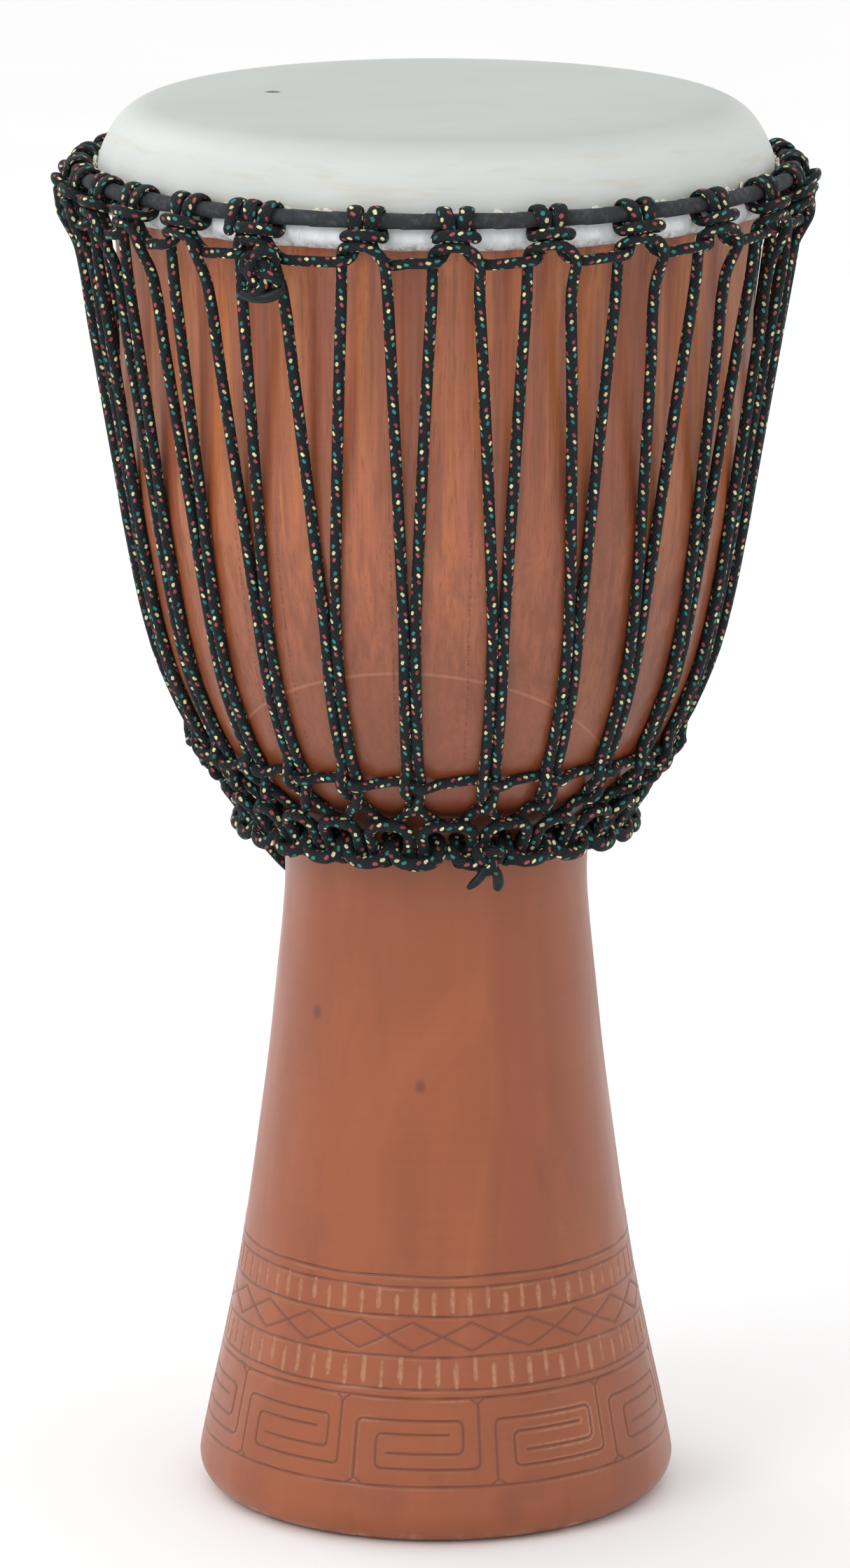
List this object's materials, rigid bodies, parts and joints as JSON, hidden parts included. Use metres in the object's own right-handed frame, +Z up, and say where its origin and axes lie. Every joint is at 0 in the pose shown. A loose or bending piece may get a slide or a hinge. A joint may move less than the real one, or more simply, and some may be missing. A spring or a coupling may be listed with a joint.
{
  "type": "djembe",
  "caption": "Goblet-shaped hand drum: carved wooden shell open at the foot, goatskin head held by a hoop and tied down with a rope lacing.",
  "frame": {"origin": "centre of the foot's resting face, at the bottom of the part", "axes": "+Z up along the drum's axis towards the head; -Y is the front, where both cradle ropes are tied off"},
  "size_m": [0.339, 0.339, 0.64],
  "materials": {
    "carved_wood": "reddish-brown hardwood, satin varnish",
    "goatskin": "shaved goatskin, pale, matte",
    "hoop_steel": "welded steel rod",
    "cloth_tape": "black cloth tape wound round the hoop",
    "braided_rope": "black braided cord with green, cream and red flecks"
  },
  "bodies": {
    "root": {"shell": "carved_wood", "skin_head": "goatskin", "flesh_hoop": "hoop_steel", "crown_hoop": "hoop_steel", "crown_wrap": "cloth_tape", "lower_hoop": "hoop_steel", "lower_wrap": "cloth_tape", "upper_cradle_rope": "braided_rope", "lower_cradle_rope": "braided_rope", "lacing_rope": "braided_rope", "pull_rope": "braided_rope", "carry_loop": "braided_rope", "upper_tie_knot": "braided_rope", "lower_tie_knot": "braided_rope"}
  },
  "joints": []
}
